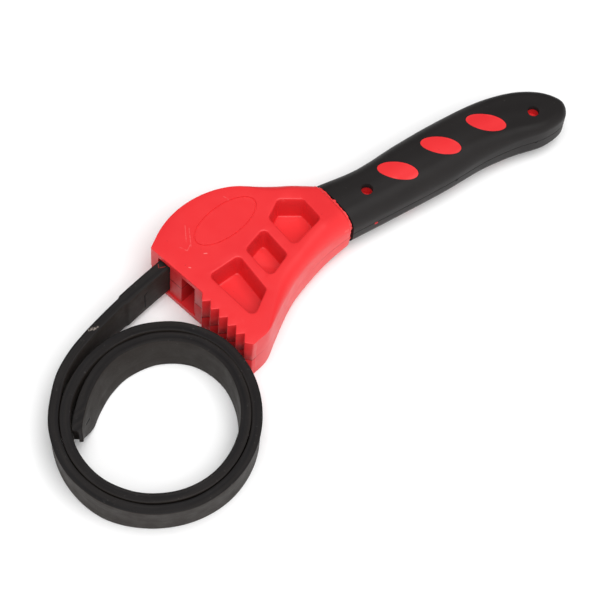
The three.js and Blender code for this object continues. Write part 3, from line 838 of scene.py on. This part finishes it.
finished(body_upper, "body", "red_plastic", RED, "body_upper")
finished(body_lower, "body", "red_plastic", RED, "body_lower")
finished(grip_upper, "body", "black_grip", BLACK, "grip_upper")
finished(grip_lower, "body", "black_grip", BLACK, "grip_lower")
for i, c in enumerate(HEAD_SCREWS, 1):
    ob = screw(f"head_screw_{i}_fine", c, HEAD_SEAT)
    finished(ob, "body", "steel", STEEL, f"head_screw_{i}")
for i, c in enumerate(GRIP_HOLES, 1):
    ob = screw(f"handle_screw_{i}_fine", c, GRIP_SEAT)
    finished(ob, "body", "steel", STEEL, f"handle_screw_{i}")
pin_end = [(0, 3.3), (PIN_R - 0.4, 3.3), (PIN_R, 3.7)]
pin = turned("anchor_pin_fine", pin_end + [(r, TOP - z) for r, z in reversed(pin_end)])
pin.data.transform(Matrix.Translation((pin_at[0] * MM, pin_at[1] * MM, 0)))
finished(pin, "body", "steel", STEEL, "anchor_pin")

# ---- Strap ----
# LEAD is plan points from the head to the coil. TURNS is (degrees round the coil's centre,
# radius, lean); lean is how far the lower edge lies to the left of the upper one.
COIL = np.array([-79.5, -67.5])
LEAD = [(-61, -7.4), (-75.2, -10.9), (-87.2, -14.5), (-97.1, -18.3), (-106.8, -24)]
TURNS = [
    (133, 50.4, 0), (155, 50.2, 1), (180, 50.2, 1.6), (205, 49.6, 1.5), (230, 48.7, 2.7),
    (255, 47.4, 2.6), (280, 45.8, 1.5), (305, 44.9, 0.9), (330, 44.7, 0.4), (355, 45.9, 0.4),
    (380, 47.5, 0.4), (405, 48.0, 0.4), (430, 46.6, 0.4), (455, 44.7, 0.5), (480, 44.1, 0.7),
    (505, 44.7, 1), (530, 44.9, 1.5), (555, 44.5, 1.5), (580, 43.5, 2.3), (605, 42.1, 2.8),
    (630, 40.8, 2.1), (655, 39.6, 1.2), (680, 39.3, 0.6), (705, 40.1, 0.4), (730, 41.9, 0.3),
    (755, 42.6, 0.4), (780, 41.3, 1.1), (805, 39.6, 2.6), (825, 38.2, 3.5), (845, 37.2, 3.6),
    (862, 37.7, 3.2), (876, 39.4, 2.2), (886, 40.4, 1.2),
]
COIL_JOINT, TAIL_JOINT = (133, 50.4), (805, 39.6)
STRAP_W, STRAP_T, END_T = 22.0, 4.8, 6.0
SPLIT = 9               # the visible pieces meet this far from a bending line


def coil_point(degrees, radius):
    q = math.radians(degrees)
    return COIL + radius * np.array([math.cos(q), math.sin(q)])


rows = [(*along_lead(d), 0) for d in (-PIN_INSET, -8, 0, CLEAR_OF_HEAD, 12)]
rows += [(x, y, 0) for x, y in LEAD]
rows += [(*coil_point(a, r), lean) for a, r, lean in TURNS]
route = spline(rows, 0.85)
run = np.r_[0, np.cumsum(np.linalg.norm(np.diff(route[:, :2], axis=0), axis=1))]
tangent = np.gradient(route[:, :2], axis=0)
tangent /= np.linalg.norm(tangent, axis=1)[:, None]


def run_at(point, first=0):
    """Run of the strap nearest to a plan point, looked for from station `first` on."""
    return run[first + int(np.argmin(np.linalg.norm(route[first:, :2] - point, axis=1)))]


s_swing, s_coil = run_at(swing_at), run_at(coil_point(*COIL_JOINT))
s_tail, s_end = run_at(coil_point(*TAIL_JOINT), len(route) // 2), run[-1]
RUBBER = strap_rubber(s_end)


def strap_form(s):
    """(thickness, lower edge, upper edge) of the strap at run s. It comes out of the head at
    mid height and lies on the ground from the coil on; its free end is a thin pointed tongue."""
    drop = (MID - STRAP_W / 2) * (1 - smooth(s, s_swing, s_coil))
    thick = STRAP_T + (END_T - STRAP_T) * (1 - smooth(s, s_swing + 23.2, s_swing + 24.4))
    thick += 0.2 * smooth(s, s_coil, s_coil + 30)
    left = s_end - s
    thick *= 1 - 0.6 * (1 - smooth(left, 4.0, 4.8))
    low = drop + 19 * max(1 - left / 20, 0) ** 1.5
    return thick, low, drop + STRAP_W - 1.2 * (1 - smooth(left, 0, 5))


def strap_section(thick, low, high):
    """The section as (left, up) points from the lower left corner on, with soft edges and
    faintly hollow sides."""
    w, r = thick / 2, min(0.55, thick * 0.3)
    left_side = [(w - 0.05, low + (high - low) * t) for t in (0.2, 0.4, 0.6, 0.8)]
    top_side = [(w * 0.5, high - 0.06), (0, high - 0.1), (-w * 0.5, high - 0.06)]
    right_side = [(-w + 0.05, low + (high - low) * t) for t in (0.8, 0.6, 0.4, 0.2)]
    under_side = [(-w * 0.5, low + 0.03), (0, low + 0.04), (w * 0.5, low + 0.03)]
    pts = []
    for cx, cz, start, side in (
            (w - r, low + r, -90, left_side), (w - r, high - r, 0, top_side),
            (-w + r, high - r, 90, right_side), (-w + r, low + r, 180, under_side)):
        for k in range(5):
            q = math.radians(start + 22.5 * k)
            pts.append((cx + r * math.cos(q), cz + r * math.sin(q)))
        pts += side
    return np.array(pts)


def strap_piece(name, s0, s1):
    """The strap from run s0 to s1, with its run and the way round its section as UVs."""
    inner = [s for s in run if s0 + 0.3 < s < s1 - 0.3]
    stations = [s0] + inner + [s1]
    verts, uv_of = [], []
    for s in stations:
        x, y, lean = (np.interp(s, run, column) for column in route.T)
        tx, ty = (np.interp(s, run, column) for column in tangent.T)
        thick, low, high = strap_form(s)
        section = strap_section(thick, low, high)
        n = len(section)
        wander = 0.12 * math.sin(s * 0.11) + 0.07 * math.sin(s * 0.29 + 1)
        around = 0.0
        for k, (a, up) in enumerate(section):
            left = a + lean * (high - up) / STRAP_W
            left += max(STRAP_T - thick, 0) / 2 if s > s_tail else 0
            left += 0.18 * math.sin(math.pi * (up - low) / max(high - low, 1))
            rise = wander * smooth(s, s_swing + 6, s_swing + 30)
            z = up + (rise if up > (low + high) / 2 else 0)
            verts.append((x - ty * left, y + tx * left, max(z, 0.0)))
            around += 0 if k == 0 else float(np.linalg.norm(section[k] - section[k - 1]))
            uv_of.append((s * MM, around * MM))
    faces = []
    for i in range(len(stations) - 1):
        for k in range(n):
            j = (k + 1) % n
            faces.append((i * n + k, (i + 1) * n + k, (i + 1) * n + j, i * n + j))
    last = (len(stations) - 1) * n
    faces += [tuple(range(n)), tuple(last + k for k in reversed(range(n)))]
    mesh = bpy.data.meshes.new(name)
    mesh.from_pydata([tuple(float(c) * MM for c in v) for v in verts], [], faces)
    layer = mesh.uv_layers.new(name="UVMap")
    for loop in mesh.loops:
        layer.data[loop.index].uv = uv_of[loop.vertex_index]
    ob = linked(name, mesh)
    b = bmesh.new()
    b.from_mesh(mesh)
    bmesh.ops.recalc_face_normals(b, faces=b.faces)
    b.to_mesh(mesh)
    b.free()
    return ob


front = strap_piece("strap_front", 0.5, s_coil - SPLIT)
eye = prism("eye", oval(pin_at, EYE_R, EYE_R, 0, 48), MID - STRAP_W / 2, MID + STRAP_W / 2)
turn = strap_piece("strap_turn", s_coil - SPLIT, s_coil + SPLIT)
coil = strap_piece("strap_coil_skin", s_coil + SPLIT, s_tail - SPLIT)
tail = strap_piece("strap_tail_skin", s_tail - SPLIT, s_end)
for ob in (front, turn, tail):
    finished(ob, None, "rubber", RUBBER, angle=40)
finished(coil, "coil", "rubber", RUBBER, "strap_coil", angle=40)
combine(eye, prism("bore", oval(pin_at, EYE_BORE, EYE_BORE, 0, 40), 4, 28))
finished(eye, "body", "rubber", RUBBER, angle=40)
eye.name = "strap_eye"
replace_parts(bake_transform(front), "strap_end", "strap_lead")
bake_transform(turn)
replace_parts(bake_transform(tail), "strap_tail")

# ---- Stage, light and camera ----
floor_corners = [(x, y, -0.0004) for x, y in ((-4, -4), (4, -4), (4, 4), (-4, 4))]
floor_mesh = bpy.data.meshes.new("floor")
floor_mesh.from_pydata(floor_corners, [], [(0, 1, 2, 3)])
floor = linked("floor", floor_mesh)
paper = Shader("paper", Roughness=0.95)
paper.put("Base Color", paper.grey(paper.noise(3, 2), [(0.3, 0.93), (0.7, 0.95)]))
floor_mesh.materials.append(paper.material)

# A light dome that is darkest in one direction.
world = bpy.data.worlds.new("studio")
world.use_nodes = True
sky = world.node_tree
place = sky.nodes.new("ShaderNodeTexCoord")
dark_side = sky.nodes.new("ShaderNodeVectorMath")
dark_side.operation = "DOT_PRODUCT"
dark_side.inputs[1].default_value = (0.42, 0.50, 0.76)
dome = sky.nodes.new("ShaderNodeValToRGB")
for element, (at, v) in zip(dome.color_ramp.elements, ((0.0, 1.0), (0.6, 0.16))):
    element.position, element.color = at, (v, v, v, 1)
sky.links.new(place.outputs["Generated"], dark_side.inputs[0])
sky.links.new(dark_side.outputs["Value"], dome.inputs[0])
sky.links.new(dome.outputs[0], sky.nodes["Background"].inputs[0])
sky.nodes["Background"].inputs[1].default_value = 0.92
bpy.context.scene.world = world
bpy.context.scene.view_settings.view_transform = "Standard"

light = bpy.data.lights.new("key", "AREA")
light.shape, light.size, light.size_y, light.energy = "RECTANGLE", 1.3, 1.3, 26
key = linked("key", light)
key.location = (-0.05, -0.4, 1.45)
key.rotation_euler = (-Vector(key.location)).to_track_quat("-Z", "Y").to_euler()

camera_data = bpy.data.cameras.new("camera")
camera_data.sensor_width = 36
camera_data.lens = 36 * 2200 / 608
camera_data.clip_start, camera_data.clip_end = 0.01, 20
camera = linked("camera", camera_data)
eye_point, aim = Vector((-0.3284, -0.4593, 0.9358)), Vector((0.0179, -0.0446, 0))
forward = (aim - eye_point).normalized()
level = forward.cross(Vector((0, 0, 1))).normalized()
upright = level.cross(forward)
roll = math.radians(6.4)
right = level * math.cos(roll) + upright * math.sin(roll)
up = right.cross(forward)
turned_to = Matrix((right, up, -forward)).transposed().to_4x4()
camera.matrix_world = Matrix.Translation(eye_point) @ turned_to
bpy.context.scene.camera = camera
